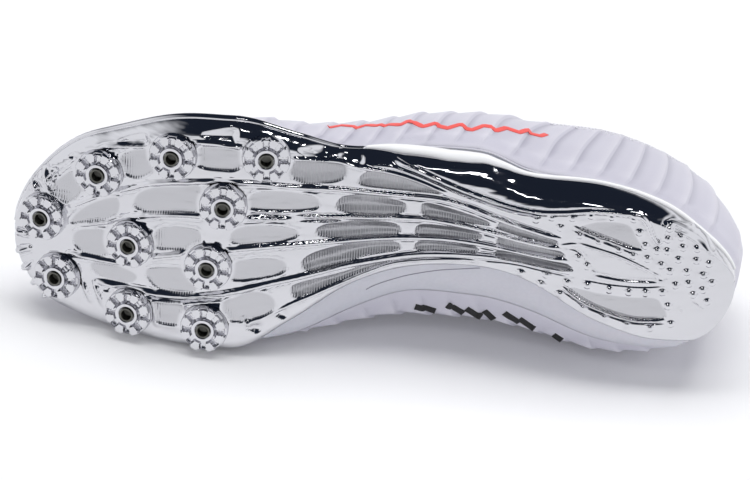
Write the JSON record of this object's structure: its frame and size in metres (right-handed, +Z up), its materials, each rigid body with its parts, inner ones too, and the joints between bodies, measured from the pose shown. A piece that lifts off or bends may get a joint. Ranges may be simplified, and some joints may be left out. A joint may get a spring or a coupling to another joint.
{
  "type": "track spike shoe",
  "caption": "Left sprint spike shoe: white upper of overlapping scales, mirror-chrome plate with empty toothed spike wells, thin white midsole, laced throat.",
  "frame": {"origin": "middle of the bounding box in plan, on the floor that the shoe lies on", "axes": "+Z up; the shoe lies on its inner side with its toe towards -X, its heel towards +X, and its sole facing -Y; the outer side of the foot is up"},
  "size_m": [0.2848, 0.087, 0.0958],
  "materials": {
    "chromed_plate": "stiff nylon, vacuum plated: mirror chrome on the flats and ribs, satin in the ribbed lanes",
    "white_upper": "soft satin moulded synthetic, white with a cool lavender cast",
    "white_foam": "smooth skinned foam, white",
    "threaded_steel": "dark threaded steel",
    "sockliner_textile": "thin knitted sockliner, light grey",
    "lace_polyester": "flat woven lace, white"
  },
  "bodies": {
    "root": {"outsole_plate": "chromed_plate", "midsole": "white_foam", "upper": "white_upper", "insole": "sockliner_textile", "tongue": "white_upper", "lace": "lace_polyester", "spike_well_01": "chromed_plate", "spike_well_02": "chromed_plate", "spike_well_03": "chromed_plate", "spike_well_04": "chromed_plate", "spike_well_05": "chromed_plate", "spike_well_06": "chromed_plate", "spike_well_07": "chromed_plate", "spike_well_08": "chromed_plate", "spike_well_09": "chromed_plate", "spike_well_10": "chromed_plate", "spike_insert_01": "threaded_steel", "spike_insert_02": "threaded_steel", "spike_insert_03": "threaded_steel", "spike_insert_04": "threaded_steel", "spike_insert_05": "threaded_steel", "spike_insert_06": "threaded_steel", "spike_insert_07": "threaded_steel", "spike_insert_08": "threaded_steel", "spike_insert_09": "threaded_steel", "spike_insert_10": "threaded_steel"}
  },
  "joints": []
}
